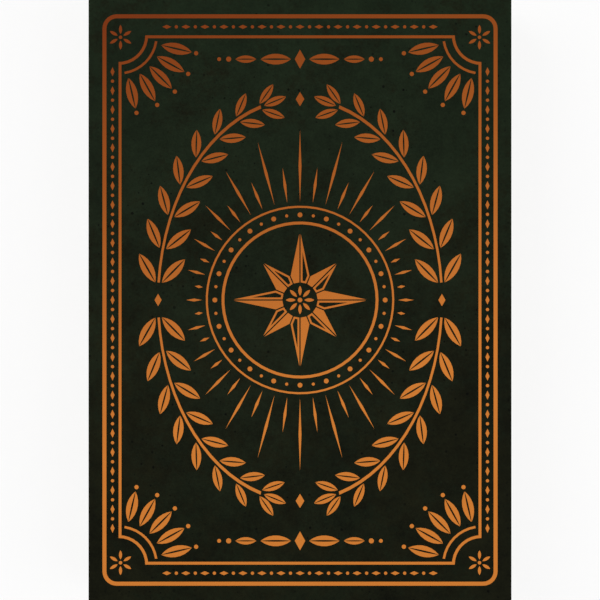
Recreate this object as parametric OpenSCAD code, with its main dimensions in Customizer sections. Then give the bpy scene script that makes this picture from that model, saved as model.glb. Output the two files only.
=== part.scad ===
// Deck of large inspirational cards, squared up and lying face down on a table.
// Every card is a separate loose sheet of printed and laminated board with square-cut corners.
// +Z is up, +Y runs along the cards, and the origin is the middle of the bottom card's underside.

/* [Card] */
// Width of a card, along its short side
card_w = 88.9; // [60:0.1:110]
// Length of a card, along its long side
card_l = 127; // [85:0.1:160]
// Thickness of the printed and laminated board
card_t = 0.38; // [0.28:0.01:0.5]

/* [Deck] */
// Number of cards
card_count = 44; // [3:1:60]
// Air left between two cards of a deck that is squared up by hand
air_gap = 0.03; // [0.02:0.01:0.1]
// Furthest that a card lies off square, along each side
jog = 0.12; // [0:0.02:0.5]

/* [Motion] */
// Distance from the cards' lower edge up to the grip that the fan turns about
grip_up = 18; // [8:1:40]
// Angle that the fan is opened to, clockwise from above
fan_open = 0; // [-120:5:120]
// Distance that the top card is drawn off the deck
draw_out = 0; // [0:5:135]

/* [Hidden] */
card_pitch = card_t + air_gap;
grip_y = grip_up - card_l / 2;
// The top card rides on the card below it, so that one is the last to turn in the fan
last_fanned = card_count - 1;
// A fixed draw for every card's two sides, so that the deck always comes out the same
scatter_seed = 7;
scatter = rands(-jog, jog, 2 * card_count, scatter_seed);
board_colour = "#1b2018";

function card_name(number) = str("card_", number < 10 ? "0" : "", number);

// The bottom card and the top card lie square, and the others a little off it
function off_square(number) =
    number == 1 || number == card_count
        ? [0, 0]
        : [scatter[2 * number - 2], scatter[2 * number - 1]];

// Each card's share of the fan's angle grows evenly from the bottom card up
function fan_turn(number) =
    fan_open * (min(number, last_fanned) - 1) / (last_fanned - 1);

function drawn(number) = number == card_count ? draw_out : 0;

// Turns its children clockwise from above, about the grip
module about_grip(angle) {
    translate([0, grip_y, 0])
        rotate([0, 0, -angle])
            translate([0, -grip_y, 0])
                children();
}

// One sheet of board, centred, with its underside at height 0
module board() {
    linear_extrude(card_t)
        square([card_w, card_l], center = true);
}

// A card in its place in the deck, counted from the bottom card up
module card(number) {
    color(board_colour)
        about_grip(fan_turn(number))
            translate(concat(off_square(number) + [0, drawn(number)], (number - 1) * card_pitch))
                board();
}

for (number = [1 : card_count])
    card(number);
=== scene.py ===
"""Finishes a squared deck of large cards: laminated board with copper print on both sides,
on a plain white table under soft light."""

import math

import bmesh
import bpy
from mathutils import Matrix, Vector


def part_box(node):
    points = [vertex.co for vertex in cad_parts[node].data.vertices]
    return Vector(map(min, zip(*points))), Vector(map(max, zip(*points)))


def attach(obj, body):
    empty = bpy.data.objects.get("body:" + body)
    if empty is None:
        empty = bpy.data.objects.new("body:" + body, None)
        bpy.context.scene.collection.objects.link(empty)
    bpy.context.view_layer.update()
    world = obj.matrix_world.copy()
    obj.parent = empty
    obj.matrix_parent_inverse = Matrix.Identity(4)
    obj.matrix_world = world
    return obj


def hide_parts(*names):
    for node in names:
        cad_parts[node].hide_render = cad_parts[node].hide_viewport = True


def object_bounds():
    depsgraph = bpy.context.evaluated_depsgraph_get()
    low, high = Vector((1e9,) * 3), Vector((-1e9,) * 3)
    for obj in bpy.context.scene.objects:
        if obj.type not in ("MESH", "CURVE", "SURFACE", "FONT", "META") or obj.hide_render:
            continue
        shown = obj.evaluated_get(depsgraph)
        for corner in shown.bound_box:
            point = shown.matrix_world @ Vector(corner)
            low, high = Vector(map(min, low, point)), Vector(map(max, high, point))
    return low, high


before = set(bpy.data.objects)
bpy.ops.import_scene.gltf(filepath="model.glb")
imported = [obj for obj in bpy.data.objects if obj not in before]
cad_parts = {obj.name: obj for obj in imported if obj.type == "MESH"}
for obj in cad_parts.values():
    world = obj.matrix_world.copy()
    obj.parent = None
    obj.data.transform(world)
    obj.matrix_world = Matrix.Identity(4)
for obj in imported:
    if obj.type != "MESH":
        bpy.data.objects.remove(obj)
cad_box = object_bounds()


def ink(red, green, blue):
    """A colour given as 0 to 255 on screen, as the linear values that a shader takes."""
    def linear(level):
        level /= 255
        return level / 12.92 if level <= 0.04045 else ((level + 0.055) / 1.055) ** 2.4
    return linear(red), linear(green), linear(blue), 1.0


def within(span, share):
    """The value that lies that share of the way through a span."""
    return span[0] + share * (span[1] - span[0])


# Lengths are in millimetres, and turn into metres as a piece is placed
MM = 0.001

# The cards, from the bottom of the deck up
cards = sorted(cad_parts)
card_low, card_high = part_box(cards[0])
CARD_W, CARD_L, CARD_T = (card_high - card_low) / MM
CARD_SIZE = Vector((CARD_W, CARD_L))
CARD_PITCH = (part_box(cards[1])[0].z - card_low.z) / MM
DECK_TOP = cad_box[1].z / MM

# Board: how it is cut, and the plies that show on its edge
CORNER_R = 0.2
CORNER_STEPS = 3
RIM_R = 0.03
RIM_STEPS = 2
BACK_PLY = 0.06
FACE_PLY = 0.04
BACK, CORE, FACE = range(3)

# Print: its height over the board, and how deep it is pressed in
BACK_RELIEF = 0.012
FACE_RELIEF = 0.008
PRESSED_IN = 0.004

# UV map of this name that each board and each print is given, laid out for baking.
# On a board's map the back, the face and the four edges of the core lie side by side.
BAKE_MAP = "OFBake"
MAPPED_SIDES = {BACK: (0.01, 0.67), FACE: (0.69, 0.87)}
MAPPED_EDGE = (0.885, 0.907)
MAPPED_EDGE_PITCH = 0.026
MAPPED_LENGTH = (0.01, 0.99)

# How far the straight steps of a round shape may lie inside its true curve, and how near points are joined
FLATNESS = 0.025
WELD = 0.001

# Angle towards the head of a card
UPWARD = math.pi / 2

# Leaves and petals, as shares of their length
LEAF_SWELL = 0.175
LEAF_SLIT = 0.05
LEAF_PART = 0.003
LEAF_STEPS = 7

# Frame of the back: two rules, this far in from the card's edges, with a band between them
OUTER_RULE_IN = Vector((2.92, 3.44))
OUTER_RULE_LINE = 0.84
OUTER_RULE_R = 3.0
INNER_RULE_IN = Vector((6.32, 7.87))
INNER_RULE_LINE = 0.6
INNER_RULE_SCOOP = 5.6
BAND_LOZENGE = (0.86, 1.9)
BAND_BEAD_R = 0.36
BAND_PITCH = 4.0
BAND_END = 9.0

# Field inside the frame, from the card's middle to where the inner rule's corner would be
FIELD = CARD_SIZE / 2 - INNER_RULE_IN

# Compass star, the rings round it, each with its radius and its line, and the beads between them
STAR_RAYS = 8
STAR_TIPS = (15.2, 11.6)
STAR_VALLEY = 5.5
STAR_ROOT = 3.6
STAR_GAP = 0.26
STAR_LINE = 0.4
STAR_HEART_R = 0.5
STAR_PETALS = 8
STAR_PETAL_START = 0.9
STAR_PETAL_L = 2.1
RINGS = ((16.2, 0.6), (19.6, 0.42))
BEAD_RING_R = 17.9
BEAD_RING_COUNT = 40
BEAD_RING_BEADS = (0.52, 0.34)

# Wreath of four branches this far inside the field, with leaves that get shorter towards the tip,
# and a lozenge between each two branches
WREATH_IN = Vector((8.3, 13.4))
WREATH = FIELD - WREATH_IN
STEM_LINE = 0.5
STEM_START = math.radians(5)
STEM_END = math.radians(74)
LEAF_PAIRS = 8
LEAF_LENGTHS = (6.9, 5.0)
OUTER_LEAN = math.radians(33)
INNER_LEAN = math.radians(41)
LEAF_OFF_STEM = 0.7
SIDE_LOZENGE = (1.5, 2.6)
CROWN_LOZENGE = (1.8, 3.0)

# Sunburst of fine rays from the rings to this far inside the wreath
SUNBURST_RAYS = 48
SUNBURST_START = 20.6
SUNBURST_IN = Vector((5.9, 6.4))
SUNBURST_SHORT = 0.5
SUNBURST_RAY_W = 0.62

# Quarter rosette in each corner of the field, and a small rosette in the corner of the frame
QUARTER_RING_R = 8.0
QUARTER_RING_LINE = 0.5
QUARTER_RING_MARGIN = math.radians(9)
QUARTER_PETALS = 5
QUARTER_PETAL_MARGIN = math.radians(13)
QUARTER_PETAL_START = 9.2
QUARTER_PETAL_L = 6.6
QUARTER_BEAD_R = 0.46
CORNER_IN = 0.4
CORNER_HEART_R = 0.38
CORNER_PETALS = 6
CORNER_PETAL_START = 0.7
CORNER_PETAL_L = 1.9

# Divider: a lozenge, with leaves and beads to both sides of it, each with its distance and its size
DIVIDER_LOZENGE = (2.2, 4.0)
DIVIDER_LEAVES = ((1.9, 6.4), (9.2, 4.4))
DIVIDER_BEADS = ((15.0, 0.55), (17.0, 0.42))
BACK_DIVIDER_IN = 5.0

# Face of a card: two rules, each with its distance from the edges, its line and its corner radius,
# and quarter rosettes in their corners
FACE_RULES = ((4.2, 0.8, 3.0), (6.2, 0.4, 1.8))
FACE_CORNER_IN = Vector((7.0, 7.0))
FACE_CORNER_SIZE = 0.8
FACE_DIVIDERS_Y = (49.5, -20.0)

# Emblem of a face: a large rosette in a ring
EMBLEM_Y = 15.0
EMBLEM_HEART_R = 2.4
EMBLEM_PETAL_START = 4.2
EMBLEM_PETAL_L = 14.6
FEWEST_PETALS = 5
PETAL_KINDS = 8
SMALL_PETAL_START = 12.4
SMALL_PETAL_L = 6.4
EMBLEM_RING_R = 24.0
EMBLEM_RING_LINE = 0.6
EMBLEM_BEAD_R = 0.6
EMBLEM_BEADS_OUT = 21.6
EMBLEM_LOZENGE = (1.1, 3.0)
EMBLEM_LOZENGES_OUT = 26.6

# Bare panel under the emblem
PANEL_Y = -36.0
PANEL_SIZE = Vector((52.0, 17.0))
PANEL_LINE = 0.6
PANEL_R = 2.5
PANEL_LOZENGE = (2.0, 3.4)
PANEL_LOZENGE_OUT = 3.2

# Ink of the backs: greens from the foot of a card to its head, darker in the corners at the foot,
# with a fine grain
BACK_GREENS = ((0.0, ink(19, 24, 13)), (0.4, ink(22, 28, 17)), (1.0, ink(24, 34, 21)))
BACK_LEVEL = 1.02
BACK_DARK_IN_CORNERS = 0.22
INK_GRAIN_SIZE = 0.5
INK_GRAIN_DEPTH = 0.004
INK_GRAIN_CONTRAST = 0.6
BACK_ROUGHNESS = 0.53
BACK_ROUGHNESS_CHANGE = 0.14
BACK_FILM = {"Specular IOR Level": 0.03, "Sheen Weight": 0.08, "Sheen Roughness": 0.4}

# Stains in that ink, laid out mirrored: how much lighter or darker they are, and how brown.
# What is added at the foot, and in its corners, goes down to nothing at the head.
STAIN_SIZE = 30.0
STAIN_MIRROR = (-1, 1, 1)
STAIN_DETAIL = 7
STAIN_ROUGHNESS = 0.92
STAIN_CONTRAST = 2.2
STAIN_CONTRAST_AT_FOOT = 1.2
STAIN_BROWN = ink(20, 21, 10)
BROWN_SHARE = 0.225
BROWN_CONTRAST = 5.6
BROWN_AT_FOOT = 0.35
BROWN_IN_CORNERS = 0.9
BROWN_EDGES = (0.1, 1.25)

# Flecks in that ink: how far apart, the least radius and the most that is added to it, the soft rim,
# and the loose groups that they lie in
FLECK_INK = ink(3, 4, 2)
FLECK_COVER = 0.9
FLECK_SPACING = 2.2
FLECK_R = 0.13
FLECK_GROWTH = 0.2
FLECK_RIM = 0.05
FLECK_GROUP_SIZE = 12.0
FLECK_GROUP_EDGES = (0.42, 0.58)

# Core of the board, with fibres that lie flat, and its brightness from card to card
CORE_COLOURS = (ink(222, 212, 190), ink(243, 237, 222))
CORE_LEVELS = (0.9, 1.02)
CORE_ROUGHNESS = (0.8, 0.95)
FIBRE_SIZE = 1.1
FIBRE_FLATNESS = 12
FIBRE_DEPTH = 0.01
CORE_SHINE = {"Specular IOR Level": 0.2}

# Paper of the faces
IVORY_COLOURS = (ink(230, 220, 198), ink(244, 238, 224))
IVORY_LEVELS = (0.97, 1.03)
IVORY_ROUGHNESS = (0.5, 0.62)
MOTTLE_SIZE = 16.0
FACE_FILM = {"Specular IOR Level": 0.25}

# Copper print, from the foot of a card to its head, and how much the change leans to one side
COPPERS = (
    (0.0, ink(199, 119, 48)), (0.35, ink(201, 120, 49)), (0.5, ink(187, 108, 44)),
    (0.75, ink(152, 79, 29)), (1.0, ink(116, 50, 17)))
COPPER_LEAN = 0.3
COPPER_SPREAD = 1.1
COPPER_LEVEL = 0.93
COPPER_ROUGHNESS = (0.36, 0.52)
COPPER_CLOUD_SIZE = 9.0
COPPER_CLOUD_CONTRAST = 0.08
COPPER_GRAIN_SIZE = 0.4
COPPER_GRAIN_DEPTH = 0.003
COPPER_GRAIN_CONTRAST = 0.06
COPPER_SHINE = {"Metallic": 0.35, "Specular IOR Level": 0.05}

# Camera, which takes in this much of the top card's length
FRAMED_L = 126.13
LENS = 100.0
SENSOR = 36.0
NEAREST_SEEN = 10.0

# Light, with its places in metres, as shares of the level at which a colour renders as it is written
AMBIENT = 0.62
KEY_LIGHT = {"place": (-0.75, 0.45, 0.95), "size": 0.8, "share": 0.21}
FILL_LIGHT = {"place": (0.85, -0.35, 0.9), "size": 0.9, "share": 0.17}
WHITE = (1, 1, 1, 1)

# Table, which lies a little under the deck. It glows plain white by this share, and fades to plain white
# alone between these distances. A card this near to it takes light through it from below.
TABLE_HALF = 6000.0
TABLE_DROP = 0.05
TABLE_COLOUR = (0.95, 0.95, 0.95, 1)
TABLE_GLOW = 0.8
TABLE_FADE = (400.0, 1500.0)
TABLE_CLEAR = 0.3


def add_camera():
    lens = bpy.data.cameras.new("camera")
    lens.lens = LENS
    lens.sensor_width = SENSOR
    lens.clip_start = NEAREST_SEEN * MM
    camera = bpy.data.objects.new("camera", lens)
    camera.location.z = (DECK_TOP + FRAMED_L * LENS / SENSOR) * MM
    bpy.context.scene.collection.objects.link(camera)
    bpy.context.scene.camera = camera


# A Mix node's sockets for colours, by number, because those for plain values share their names
MIX_FACTOR, MIX_FIRST, MIX_SECOND, MIX_RESULT = 0, 6, 7, 2


class Wire:
    """An output of a material's nodes. Arithmetic on it adds Math nodes."""

    def __init__(self, tree, socket=None):
        self.tree = tree
        self.socket = socket

    def node(self, kind, settings=None, sockets=None, output=0):
        """Adds a node with these settings, then these values or links on its sockets."""
        made = self.tree.nodes.new(kind)
        for name, value in (settings or {}).items():
            if name == "stops":
                self.set_stops(made.color_ramp, value)
            else:
                setattr(made, name, value)
        for name, value in (sockets or {}).items():
            if isinstance(value, Wire):
                self.tree.links.new(value.socket, made.inputs[name])
            else:
                made.inputs[name].default_value = value
        return Wire(self.tree, made.outputs[output] if made.outputs else None)

    @staticmethod
    def set_stops(ramp, stops):
        while len(ramp.elements) < len(stops):
            ramp.elements.new(0.5)
        for element, (position, colour) in zip(ramp.elements, stops):
            element.position = position
            element.color = colour

    def math(self, operation, *values):
        return self.node("ShaderNodeMath", {"operation": operation}, dict(enumerate(values)))

    def __add__(self, other):
        return self.math("ADD", self, other)

    def __sub__(self, other):
        return self.math("SUBTRACT", self, other)

    def __mul__(self, other):
        return self.math("MULTIPLY", self, other)

    def __truediv__(self, other):
        return self.math("DIVIDE", self, other)

    def __rsub__(self, other):
        return self.math("SUBTRACT", other, self)

    def __rtruediv__(self, other):
        return self.math("DIVIDE", other, self)

    __radd__ = __add__
    __rmul__ = __mul__

    def between(self, low, high):
        """0 where this is low or less, 1 where it is high or more, and smooth between."""
        return self.node(
            "ShaderNodeMapRange", {"interpolation_type": "SMOOTHSTEP"},
            {"Value": self, "From Min": low, "From Max": high})

    def mixed(self, first, second):
        """The first colour where this is 0, and the second where it is 1."""
        return self.node(
            "ShaderNodeMix", {"data_type": "RGBA"},
            {MIX_FACTOR: self, MIX_FIRST: first, MIX_SECOND: second}, output=MIX_RESULT)

    def brightened(self, level):
        """This colour, at that times its brightness."""
        return self.node("ShaderNodeHueSaturation", {}, {"Color": self, "Value": level})


def new_material(name):
    material = bpy.data.materials.new(name)
    material.use_nodes = True
    material.node_tree.nodes.clear()
    return material, Wire(material.node_tree)


def stretched(place, factors):
    return place.node("ShaderNodeVectorMath", {"operation": "MULTIPLY"}, {0: place, 1: factors})


def place_in_mm(wire):
    """Object coordinates in millimetres."""
    return stretched(wire.node("ShaderNodeTexCoord", output="Object"), (1 / MM, 1 / MM, 1 / MM))


def flat(place):
    """The place in the plane of a card, the same at every height."""
    return stretched(place, (1, 1, 0))


def noise(place, size, detail, roughness=0.55, output="Fac"):
    """Cloudy noise from 0 to 1, whose largest patches are about that size."""
    return place.node(
        "ShaderNodeTexNoise", {},
        {"Vector": place, "Scale": 1 / size, "Detail": detail, "Roughness": roughness},
        output=output)


def ramp(share, stops):
    """A colour that runs through the stops as the share goes from 0 to 1."""
    return share.node("ShaderNodeValToRGB", {"stops": stops}, {"Fac": share})


def channel(colour, name):
    return colour.node("ShaderNodeSeparateColor", {}, {"Color": colour}, output=name)


def axis_of(place, axis):
    return place.node("ShaderNodeSeparateXYZ", {}, {"Vector": place}, output=axis)


def surface(colour, roughness, height, bump_depth, shine):
    """Ends a material in one Principled shader with a bump of that depth in millimetres."""
    normal = height.node(
        "ShaderNodeBump", {}, {"Height": height, "Strength": 1.0, "Distance": bump_depth * MM})
    shader = colour.node(
        "ShaderNodeBsdfPrincipled", {},
        {"Base Color": colour, "Roughness": roughness, "Normal": normal, **shine})
    shader.node("ShaderNodeOutputMaterial", {}, {"Surface": shader})


def flecks(place):
    """Up to 1 on small round flecks of many sizes and strengths in loose groups, and 0 between them."""
    settings = {"voronoi_dimensions": "2D"}
    cells = {"Vector": place, "Scale": 1 / FLECK_SPACING}
    off_middle = place.node("ShaderNodeTexVoronoi", settings, cells, "Distance") * FLECK_SPACING
    draws = place.node("ShaderNodeTexVoronoi", settings, cells, "Color")
    size = channel(draws, "Red")
    fading = channel(draws, "Green")
    radius = FLECK_R + FLECK_GROWTH * size * size * size
    groups = noise(place, FLECK_GROUP_SIZE, detail=1).between(*FLECK_GROUP_EDGES)
    strength = (1 - fading * fading) * groups
    return (radius - off_middle).between(0, FLECK_RIM) * strength


def back_ink():
    """Dark green ground of the backs, browner towards the foot, stained and flecked, under matt film."""
    material, wire = new_material("back_ink")
    place = flat(place_in_mm(wire))
    up = axis_of(place, "Y") / CARD_L + 0.5
    to_foot = 1 - up
    to_corner = 2 * axis_of(place, "X") / CARD_W * to_foot
    foot_corners = to_corner * to_corner
    stains = noise(
        stretched(place, STAIN_MIRROR), STAIN_SIZE, STAIN_DETAIL, STAIN_ROUGHNESS, output="Color")
    shade = channel(stains, "Red") - 0.5
    tint = channel(stains, "Green") - 0.5
    grain = noise(place, INK_GRAIN_SIZE, detail=2) - 0.5
    brown = (
        BROWN_SHARE + BROWN_CONTRAST * tint + BROWN_AT_FOOT * to_foot
        + BROWN_IN_CORNERS * foot_corners)
    stained = brown.between(*BROWN_EDGES).mixed(ramp(up, BACK_GREENS), STAIN_BROWN)
    contrast = STAIN_CONTRAST + STAIN_CONTRAST_AT_FOOT * to_foot
    level = BACK_LEVEL - BACK_DARK_IN_CORNERS * foot_corners
    toned = stained.brightened(level + contrast * shade + INK_GRAIN_CONTRAST * grain)
    colour = (FLECK_COVER * flecks(place)).mixed(toned, FLECK_INK)
    roughness = BACK_ROUGHNESS + BACK_ROUGHNESS_CHANGE * shade
    surface(colour, roughness, grain, INK_GRAIN_DEPTH, BACK_FILM)
    return material


def board_core():
    """Cut edge of the board: pale, fibrous, and a little different on each card."""
    material, wire = new_material("board_core")
    place = place_in_mm(wire)
    number = wire.math("FLOOR", axis_of(place, "Z") / CARD_PITCH)
    tone = wire.node(
        "ShaderNodeTexWhiteNoise", {"noise_dimensions": "1D"}, {"W": number}, output="Value")
    fibres = noise(stretched(place, (1, 1, FIBRE_FLATNESS)), FIBRE_SIZE, detail=4)
    colour = fibres.mixed(*CORE_COLOURS).brightened(within(CORE_LEVELS, tone))
    surface(colour, within(CORE_ROUGHNESS, fibres), fibres, FIBRE_DEPTH, CORE_SHINE)
    return material


def face_paper():
    """Ivory ground of the faces, with a soft paper mottle under matt film."""
    material, wire = new_material("face_paper")
    place = place_in_mm(wire)
    mottle = noise(place, MOTTLE_SIZE, detail=4)
    grain = noise(place, INK_GRAIN_SIZE, detail=2)
    colour = mottle.mixed(*IVORY_COLOURS).brightened(within(IVORY_LEVELS, grain))
    surface(colour, within(IVORY_ROUGHNESS, mottle), grain, INK_GRAIN_DEPTH, FACE_FILM)
    return material


def copper_print():
    """Copper-coloured print that brightens from the head of a card to its foot."""
    material, wire = new_material("copper_print")
    place = flat(place_in_mm(wire))
    slant = axis_of(place, "Y") - COPPER_LEAN * axis_of(place, "X")
    clouds = noise(place, COPPER_CLOUD_SIZE, detail=4)
    grain = noise(place, COPPER_GRAIN_SIZE, detail=2)
    copper = ramp(slant / (COPPER_SPREAD * CARD_L) + 0.5, COPPERS)
    level = COPPER_LEVEL + COPPER_CLOUD_CONTRAST * clouds + COPPER_GRAIN_CONTRAST * grain
    roughness = within(COPPER_ROUGHNESS, clouds)
    surface(copper.brightened(level), roughness, grain, COPPER_GRAIN_DEPTH, COPPER_SHINE)
    return material


def seen_directly(wire):
    """1 for what the camera sees, also in a mirror or through glass, and 0 for light on its way."""
    camera, glossy, transmission = (
        wire.node("ShaderNodeLightPath", output=f"Is {kind} Ray")
        for kind in ("Camera", "Glossy", "Transmission"))
    return wire.math("MAXIMUM", wire.math("MAXIMUM", camera, glossy), transmission)


def table_white():
    """White table top with a soft shadow near the deck. It is clear from below, and to what lies on it."""
    material, wire = new_material("table_white")
    matt = wire.node("ShaderNodeBsdfDiffuse", {}, {"Color": TABLE_COLOUR})
    glow = wire.node("ShaderNodeEmission", {}, {"Color": WHITE, "Strength": 1.0})
    away = wire.node(
        "ShaderNodeVectorMath", {"operation": "LENGTH"}, {0: place_in_mm(wire)}, output="Value")
    white = TABLE_GLOW + (1 - TABLE_GLOW) * away.between(*TABLE_FADE)
    top = wire.node("ShaderNodeMixShader", {}, {0: seen_directly(wire) * white, 1: matt, 2: glow})
    clear = wire.node("ShaderNodeBsdfTransparent")
    from_below = wire.node("ShaderNodeNewGeometry", output="Backfacing")
    ray_length = wire.node("ShaderNodeLightPath", output="Ray Length")
    from_close = wire.math("LESS_THAN", ray_length, TABLE_CLEAR * MM)
    see_through = wire.math("MAXIMUM", from_below, from_close)
    both = wire.node("ShaderNodeMixShader", {}, {0: see_through, 1: top, 2: clear})
    wire.node("ShaderNodeOutputMaterial", {}, {"Surface": both})
    return material


def new_piece(name, shape, materials):
    """Turns a bmesh in millimetres into an object at the origin, in metres."""
    shape.transform(Matrix.Scale(MM, 4))
    mesh = bpy.data.meshes.new(name)
    shape.to_mesh(mesh)
    shape.free()
    for material in materials:
        mesh.materials.append(material)
    piece = bpy.data.objects.new(name, mesh)
    bpy.context.scene.collection.objects.link(piece)
    return piece


def all_of(shape):
    return shape.verts[:] + shape.edges[:] + shape.faces[:]


def at(x=0.0, y=0.0, turn=0.0, size=1.0):
    """The place of an ornament: enlarged, turned to the left, then moved."""
    return Matrix.Translation((x, y, 0)) @ Matrix.Rotation(turn, 4, "Z") @ Matrix.Scale(size, 4)


def polar(radius, angle):
    return Vector((radius * math.cos(angle), radius * math.sin(angle), 0))


def outward(radius, angle, size=1.0):
    """The place of an ornament that points away from the middle, that far from it."""
    return Matrix.Rotation(angle - UPWARD, 4, "Z") @ at(0, radius, 0, size)


def ornament(name, shape):
    """Keeps a flat shape as a mesh that can be stamped many times."""
    mesh = bpy.data.meshes.new(name)
    shape.to_mesh(mesh)
    shape.free()
    return mesh


def stamp(art, shape, place):
    copy = shape.copy()
    copy.transform(place)
    art.from_mesh(copy)
    bpy.data.meshes.remove(copy)


def steps_round(radius, sweep):
    """How many straight steps a turn of that radius and angle takes."""
    return math.ceil(sweep / (2 * math.acos(1 - FLATNESS / radius)))


def bead(art, radius, place):
    sides = steps_round(radius, math.tau)
    bmesh.ops.create_circle(art, cap_ends=True, segments=sides, radius=radius, matrix=place)


def lozenge(art, width, length, place):
    stretch = Matrix.Diagonal((width, length, 1, 1))
    bmesh.ops.create_circle(art, cap_ends=True, segments=4, radius=0.5, matrix=place @ stretch)


def arc(radius, line, start=0.0, sweep=math.tau):
    """A line of even width along a circle, or along a stretch of it."""
    shape = bmesh.new()
    ends = [shape.verts.new(polar(radius + side * line / 2, start)) for side in (-1, 1)]
    edge = shape.edges.new(ends)
    bmesh.ops.spin(
        shape, geom=ends + [edge], cent=(0, 0, 0), axis=(0, 0, 1), angle=sweep,
        steps=steps_round(radius, sweep), use_merge=sweep == math.tau)
    return ornament("arc", shape)


def hollowed(shape, line):
    """Leaves only a border of that width of the shape's one face."""
    middle = shape.faces[:]
    bmesh.ops.inset_region(
        shape, faces=middle, thickness=line, use_boundary=True, use_even_offset=True)
    bmesh.ops.delete(shape, geom=middle, context="FACES")


def rounded_rule(size, line, radius):
    """A rectangular rule with round corners."""
    shape = bmesh.new()
    bmesh.ops.create_grid(
        shape, x_segments=1, y_segments=1, size=0.5, matrix=Matrix.Diagonal((*size, 1, 1)))
    bmesh.ops.bevel(
        shape, geom=shape.verts[:], offset=radius, affect="VERTICES",
        segments=steps_round(radius, math.pi / 2), profile=0.5, material=-1)
    hollowed(shape, line)
    return ornament("rounded_rule", shape)


def scooped_rule(size, line, scoop):
    """A rectangular rule with a quarter circle scooped out of each corner."""
    shape = bmesh.new()
    half_w, half_l = size / 2
    side = shape.verts.new((half_w, 0, 0))
    below = bmesh.ops.extrude_vert_indiv(shape, verts=[side])["verts"]
    bmesh.ops.translate(shape, vec=(0, half_l - scoop, 0), verts=below)
    swept = bmesh.ops.spin(
        shape, geom=below, cent=(half_w, half_l, 0), axis=(0, 0, 1), angle=-math.pi / 2,
        steps=steps_round(scoop, math.pi / 2))
    last = [part for part in swept["geom_last"] if isinstance(part, bmesh.types.BMVert)]
    head = bmesh.ops.extrude_vert_indiv(shape, verts=last)["verts"]
    bmesh.ops.translate(shape, vec=(scoop - half_w, 0, 0), verts=head)
    for axis in "XY":
        bmesh.ops.mirror(shape, geom=all_of(shape), axis=axis, merge_dist=WELD)
    bmesh.ops.contextual_create(shape, geom=shape.edges[:])
    hollowed(shape, line)
    return ornament("scooped_rule", shape)


def bow(shape, swell):
    """A curve from (0, 0) to (0, 1) that swells that far to the right, or to the left if below 0."""
    radius = (0.5 ** 2 + swell ** 2) / (2 * swell)
    bmesh.ops.spin(
        shape, geom=[shape.verts.new()], cent=(swell - radius, 0.5, 0), axis=(0, 0, 1),
        angle=2 * math.asin(0.5 / radius), steps=LEAF_STEPS)


def between_bows(first, second):
    """A flat shape with pointed ends, of length 1 along +Y, between bows of these two swells."""
    shape = bmesh.new()
    bow(shape, first)
    bow(shape, second)
    bmesh.ops.remove_doubles(shape, verts=shape.verts[:], dist=WELD)
    bmesh.ops.contextual_create(shape, geom=shape.edges[:])
    return shape


def slit_leaf():
    """A pointed leaf with a slit along its vein, in two halves that just miss each other at the tips."""
    leaf = bmesh.new()
    for side in (-1, 1):
        half = ornament("half_leaf", between_bows(side * LEAF_SWELL, side * LEAF_SLIT / 2))
        stamp(leaf, half, at(side * LEAF_PART))
    return ornament("slit_leaf", leaf)


def plain_petal():
    return ornament("plain_petal", between_bows(LEAF_SWELL, -LEAF_SWELL))


def petals_round(art, petal, count, start, length, place, turn=0.0):
    """A ring of petals of that length, from that far out. The first is turned that far from straight up."""
    for number in range(count):
        angle = UPWARD + turn + math.tau * number / count
        stamp(art, petal, place @ outward(start, angle, length))


def half_ray(art, axis, side, tip, open_line):
    """Half of a ray of the star, to one side of its axis, filled or as an outline."""
    valley = axis + side * math.pi / STAR_RAYS
    corners = (
        polar(STAR_ROOT, axis), polar(tip, axis), polar(STAR_VALLEY, valley),
        polar(STAR_ROOT, valley))
    shape = bmesh.new()
    face = shape.faces.new([shape.verts.new(corner) for corner in corners])
    shape.normal_update()
    border = bmesh.ops.inset_region(
        shape, faces=[face], thickness=STAR_GAP / 2, use_boundary=True,
        use_even_offset=True)["faces"]
    bmesh.ops.delete(shape, geom=border, context="FACES")
    if open_line:
        hollowed(shape, open_line)
    stamp(art, ornament("half_ray", shape), at())


def compass_star(art):
    """Rays of two lengths, each filled on one side and open on the other."""
    for ray in range(STAR_RAYS):
        axis = math.tau * ray / STAR_RAYS
        tip = STAR_TIPS[ray % 2]
        half_ray(art, axis, 1, tip, open_line=0)
        half_ray(art, axis, -1, tip, open_line=STAR_LINE)


def medallion(art):
    """The star with a rosette at its heart, two rings and the beads between them."""
    compass_star(art)
    bead(art, STAR_HEART_R, at())
    petals_round(art, plain_petal(), STAR_PETALS, STAR_PETAL_START, STAR_PETAL_L, at())
    for radius, line in RINGS:
        stamp(art, arc(radius, line), at())
    for step in range(BEAD_RING_COUNT):
        place = outward(BEAD_RING_R, math.tau * step / BEAD_RING_COUNT)
        bead(art, BEAD_RING_BEADS[step % 2], place)


def sunburst(art):
    """Fine rays, long and short by turns, that fill the oval between the rings and the wreath."""
    oval = WREATH - SUNBURST_IN
    for ray in range(SUNBURST_RAYS):
        angle = math.tau * ray / SUNBURST_RAYS
        reach = 1 / math.hypot(math.cos(angle) / oval.x, math.sin(angle) / oval.y)
        length = (reach - SUNBURST_START) * (SUNBURST_SHORT if ray % 2 else 1)
        lozenge(art, SUNBURST_RAY_W, length, outward(SUNBURST_START + length / 2, angle))


def on_stem(angle):
    """The place on the wreath's oval at that angle, with +Y along the stem."""
    heading = math.atan2(WREATH.y * math.cos(angle), -WREATH.x * math.sin(angle))
    return at(WREATH.x * math.cos(angle), WREATH.y * math.sin(angle), heading - UPWARD)


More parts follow.
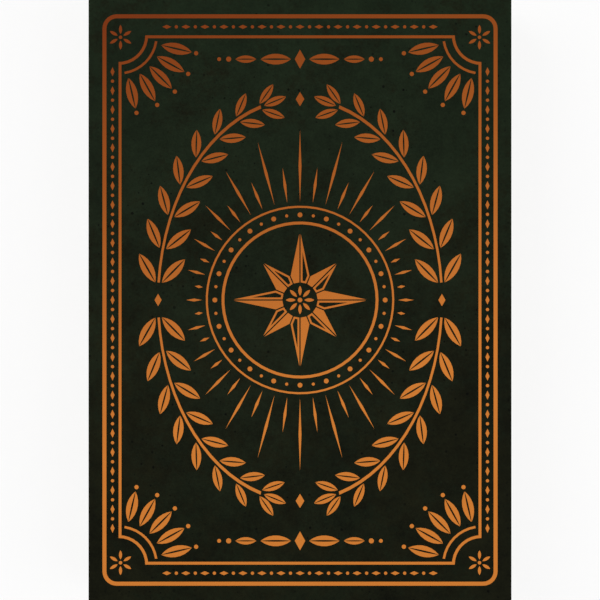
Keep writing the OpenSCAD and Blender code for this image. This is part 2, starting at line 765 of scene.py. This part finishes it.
def branch(art, leaf):
    """A quarter of the wreath, which grows from the right side of the card towards its head."""
    sweep = STEM_END - STEM_START
    stem = arc(WREATH.x, STEM_LINE, STEM_START, sweep)
    stamp(art, stem, Matrix.Diagonal((1, WREATH.y / WREATH.x, 1, 1)))
    for pair in range(LEAF_PAIRS):
        share = pair / (LEAF_PAIRS - 1)
        foot = on_stem(STEM_START + share * sweep)
        length = within(LEAF_LENGTHS, share)
        stamp(art, leaf, foot @ at(-LEAF_OFF_STEM, 0, INNER_LEAN, length))
        stamp(art, leaf, foot @ at(LEAF_OFF_STEM, 0, -OUTER_LEAN, length))
    stamp(art, leaf, on_stem(STEM_END) @ at(0, LEAF_OFF_STEM, 0, LEAF_LENGTHS[1]))


def quarter_rosette(leaf):
    """A ring and petals that open to the lower left from a corner at the origin."""
    art = bmesh.new()
    ring_start = math.pi + QUARTER_RING_MARGIN
    ring_sweep = math.pi / 2 - 2 * QUARTER_RING_MARGIN
    stamp(art, arc(QUARTER_RING_R, QUARTER_RING_LINE, ring_start, ring_sweep), at())
    step = (math.pi / 2 - 2 * QUARTER_PETAL_MARGIN) / (QUARTER_PETALS - 1)
    bead_out = QUARTER_PETAL_START + QUARTER_PETAL_L + 2 * QUARTER_BEAD_R
    for petal in range(QUARTER_PETALS):
        angle = math.pi + QUARTER_PETAL_MARGIN + petal * step
        stamp(art, leaf, outward(QUARTER_PETAL_START, angle, QUARTER_PETAL_L))
        bead(art, QUARTER_BEAD_R, outward(bead_out, angle))
    return ornament("quarter_rosette", art)


def back_corner(leaf):
    """A quarter of the back: a branch of the wreath, and the rosettes in its corner."""
    art = bmesh.new()
    branch(art, leaf)
    stamp(art, quarter_rosette(leaf), at(*FIELD))
    in_frame = at(*FIELD) @ at(-CORNER_IN, -CORNER_IN)
    bead(art, CORNER_HEART_R, in_frame)
    petals_round(art, plain_petal(), CORNER_PETALS, CORNER_PETAL_START, CORNER_PETAL_L, in_frame)
    return ornament("back_corner", art)


def in_quarters(art, shape):
    """Stamps a shape of the upper right quarter into all four quarters of a card."""
    for x_side in (-1, 1):
        for y_side in (-1, 1):
            stamp(art, shape, Matrix.Diagonal((x_side, y_side, 1, 1)))


def band(art, middle, half_run, turn):
    """Lozenges and beads by turns along a straight band of the frame."""
    count = int(half_run / BAND_PITCH)
    place = at(*middle, turn)
    for step in range(-count, count + 1):
        lozenge(art, *BAND_LOZENGE, place @ at(0, step * BAND_PITCH))
    for step in range(-count, count):
        bead(art, BAND_BEAD_R, place @ at(0, (step + 0.5) * BAND_PITCH))


def divider(art, leaf, y):
    """A lozenge with leaves and beads to both sides."""
    lozenge(art, *DIVIDER_LOZENGE, at(0, y))
    for side in (-1, 1):
        for off, length in DIVIDER_LEAVES:
            stamp(art, leaf, at(side * off, y, -side * math.pi / 2, length))
        for off, radius in DIVIDER_BEADS:
            bead(art, radius, at(side * off, y))


def back_art(leaf):
    """The whole design of a card's back."""
    art = bmesh.new()
    outer_size = CARD_SIZE - 2 * OUTER_RULE_IN
    stamp(art, rounded_rule(outer_size, OUTER_RULE_LINE, OUTER_RULE_R), at())
    stamp(art, scooped_rule(2 * FIELD, INNER_RULE_LINE, INNER_RULE_SCOOP), at())
    medallion(art)
    sunburst(art)
    in_quarters(art, back_corner(leaf))
    outer_line = Vector((OUTER_RULE_LINE, OUTER_RULE_LINE))
    band_out = (outer_size / 2 - outer_line + FIELD) / 2
    for side in (-1, 1):
        band(art, (side * band_out.x, 0), band_out.y - BAND_END, 0)
        band(art, (0, side * band_out.y), band_out.x - BAND_END, math.pi / 2)
        divider(art, leaf, side * (FIELD.y - BACK_DIVIDER_IN))
        lozenge(art, *SIDE_LOZENGE, at(side * WREATH.x, 0))
        lozenge(art, *CROWN_LOZENGE, at(0, side * WREATH.y))
    return raised(art, BACK_RELIEF, x_side=1)


def emblem(art, leaf, petals):
    """A rosette with petals of two lengths, in a ring with beads inside it and lozenges outside."""
    middle = at(0, EMBLEM_Y)
    bead(art, EMBLEM_HEART_R, middle)
    petals_round(art, leaf, petals, EMBLEM_PETAL_START, EMBLEM_PETAL_L, middle)
    between = math.pi / petals
    petals_round(art, plain_petal(), petals, SMALL_PETAL_START, SMALL_PETAL_L, middle, between)
    stamp(art, arc(EMBLEM_RING_R, EMBLEM_RING_LINE), middle)
    for step in range(2 * petals):
        angle = UPWARD + (step + 0.5) * between
        bead(art, EMBLEM_BEAD_R, middle @ outward(EMBLEM_BEADS_OUT, angle))
        lozenge(art, *EMBLEM_LOZENGE, middle @ outward(EMBLEM_LOZENGES_OUT, angle))


def face_art(leaf, petals):
    """The design of a card's face: an emblem over a bare panel."""
    art = bmesh.new()
    for rule_in, line, radius in FACE_RULES:
        stamp(art, rounded_rule(CARD_SIZE - 2 * Vector((rule_in, rule_in)), line, radius), at())
    corner = bmesh.new()
    place = at(*(CARD_SIZE / 2 - FACE_CORNER_IN), size=FACE_CORNER_SIZE)
    stamp(corner, quarter_rosette(leaf), place)
    in_quarters(art, ornament("face_corner", corner))
    emblem(art, leaf, petals)
    for y in FACE_DIVIDERS_Y:
        divider(art, leaf, y)
    stamp(art, rounded_rule(PANEL_SIZE, PANEL_LINE, PANEL_R), at(0, PANEL_Y))
    for side in (-1, 1):
        lozenge(art, *PANEL_LOZENGE, at(side * (PANEL_SIZE.x / 2 + PANEL_LOZENGE_OUT), PANEL_Y))
    return raised(art, FACE_RELIEF, x_side=-1)


def map_on_card(art, x_side):
    """Maps a design as it lies in the deck, seen from above. A face lies turned over, at x_side -1."""
    spots = art.loops.layers.uv.new(BAKE_MAP)
    for face in art.faces:
        for corner in face.loops:
            x, y, _ = corner.vert.co
            corner[spots].uv = (0.5 + x_side * x / CARD_W, 0.5 + y / CARD_L)


def raised(art, relief, x_side):
    """Gives flat shapes their thickness, from pressed into the board to above it, and maps them."""
    art.normal_update()
    bmesh.ops.reverse_faces(art, faces=[face for face in art.faces if face.normal.z < 0])
    art.normal_update()
    bmesh.ops.solidify(art, geom=art.faces[:], thickness=relief + PRESSED_IN)
    bmesh.ops.recalc_face_normals(art, faces=art.faces[:])
    lowest = min(vert.co.z for vert in art.verts)
    bmesh.ops.translate(art, vec=(0, 0, -PRESSED_IN - lowest), verts=art.verts[:])
    map_on_card(art, x_side)
    return ornament("art", art)


def map_on_board(shape, low, high):
    """Maps a board's back and face as seen from above, and each edge of its core as a strip of its own."""
    spots = shape.loops.layers.uv.new(BAKE_MAP)
    for face in shape.faces:
        facing = max(face.normal.xy, key=abs)
        on_long_side = facing == face.normal.x
        edge = 2 * on_long_side + (facing > 0)
        for corner in face.loops:
            across, along, up = (
                part / whole for part, whole in zip(corner.vert.co - low, high - low))
            if face.material_index == CORE:
                along = along if on_long_side else across
                u = within(MAPPED_EDGE, up) + edge * MAPPED_EDGE_PITCH
            else:
                u = within(MAPPED_SIDES[face.material_index], across)
            corner[spots].uv = (u, within(MAPPED_LENGTH, along))


def is_upright(edge):
    """Whether an edge of a board runs from its face up to its back."""
    return abs(edge.verts[0].co.z - edge.verts[1].co.z) > CARD_T / 2


def card_board(card, plies):
    """A sheet of board with its plies on the cut edge, given from the back to the face."""
    low, high = (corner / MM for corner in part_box(card))
    shape = bmesh.new()
    middle = Matrix.Translation((low + high) / 2)
    bmesh.ops.create_cube(shape, size=1, matrix=middle @ Matrix.Diagonal((*(high - low), 1)))
    corners = [edge for edge in shape.edges if is_upright(edge)]
    bmesh.ops.bevel(
        shape, geom=corners, offset=CORNER_R, affect="EDGES", segments=CORNER_STEPS, profile=0.5,
        material=-1)
    rims = [edge for edge in shape.edges if not is_upright(edge)]
    bmesh.ops.bevel(
        shape, geom=rims, offset=RIM_R, affect="EDGES", segments=RIM_STEPS, profile=0.5,
        material=-1)
    cuts = (high.z - BACK_PLY, low.z + FACE_PLY)
    for cut in cuts:
        bmesh.ops.bisect_plane(
            shape, geom=all_of(shape), plane_co=(0, 0, cut), plane_no=(0, 0, 1))
    for face in shape.faces:
        face.material_index = sum(face.calc_center_median().z < cut for cut in cuts)
    shape.normal_update()
    map_on_board(shape, low, high)
    return new_piece(card.replace("card", "board"), shape, plies)


def card_print(card, back, face, copper):
    """The print on both sides of a card, as thin raised copper."""
    low, high = (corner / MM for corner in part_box(card))
    middle = (low + high) / 2
    shape = bmesh.new()
    stamp(shape, back, Matrix.Translation((middle.x, middle.y, high.z)))
    turned_over = Matrix.Rotation(math.pi, 4, "Y")
    stamp(shape, face, Matrix.Translation((middle.x, middle.y, low.z)) @ turned_over)
    return new_piece(card.replace("card", "print"), shape, [copper])


def add_cards():
    plies = (back_ink(), board_core(), face_paper())
    copper = copper_print()
    leaf = slit_leaf()
    back = back_art(leaf)
    faces = [face_art(leaf, FEWEST_PETALS + kind) for kind in range(PETAL_KINDS)]
    for number, card in enumerate(cards):
        board = card_board(card, plies)
        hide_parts(card)
        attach(board, card)
        printed = card_print(card, back, faces[number % PETAL_KINDS], copper)
        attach(printed, card)


def add_table():
    shape = bmesh.new()
    bmesh.ops.create_grid(
        shape, x_segments=1, y_segments=1, size=TABLE_HALF,
        matrix=Matrix.Translation((0, 0, -TABLE_DROP)))
    new_piece("table", shape, [table_white()])


def add_softbox(name, place, size, share):
    """A square lamp that lights the top card at that share of the full level."""
    target = Vector((0, 0, DECK_TOP * MM))
    reach = Vector(place) - target
    lamp = bpy.data.lights.new(name, "AREA")
    lamp.size = size
    facing = reach.z / reach.length
    lamp.energy = share * math.pi ** 2 * reach.length_squared / facing
    softbox = bpy.data.objects.new(name, lamp)
    softbox.location = place
    softbox.rotation_euler = (-reach).to_track_quat("-Z", "Y").to_euler()
    bpy.context.scene.collection.objects.link(softbox)


def add_light():
    add_softbox("key_light", **KEY_LIGHT)
    add_softbox("fill_light", **FILL_LIGHT)
    world = bpy.data.worlds.new("studio")
    world.use_nodes = True
    world.node_tree.nodes.clear()
    wire = Wire(world.node_tree)
    level = AMBIENT + (1 - AMBIENT) * seen_directly(wire)
    sky = wire.node("ShaderNodeBackground", {}, {"Color": WHITE, "Strength": level})
    wire.node("ShaderNodeOutputWorld", {}, {"Surface": sky})
    bpy.context.scene.world = world


bpy.context.scene.view_settings.view_transform = "Standard"
add_camera()
add_cards()
add_table()
add_light()
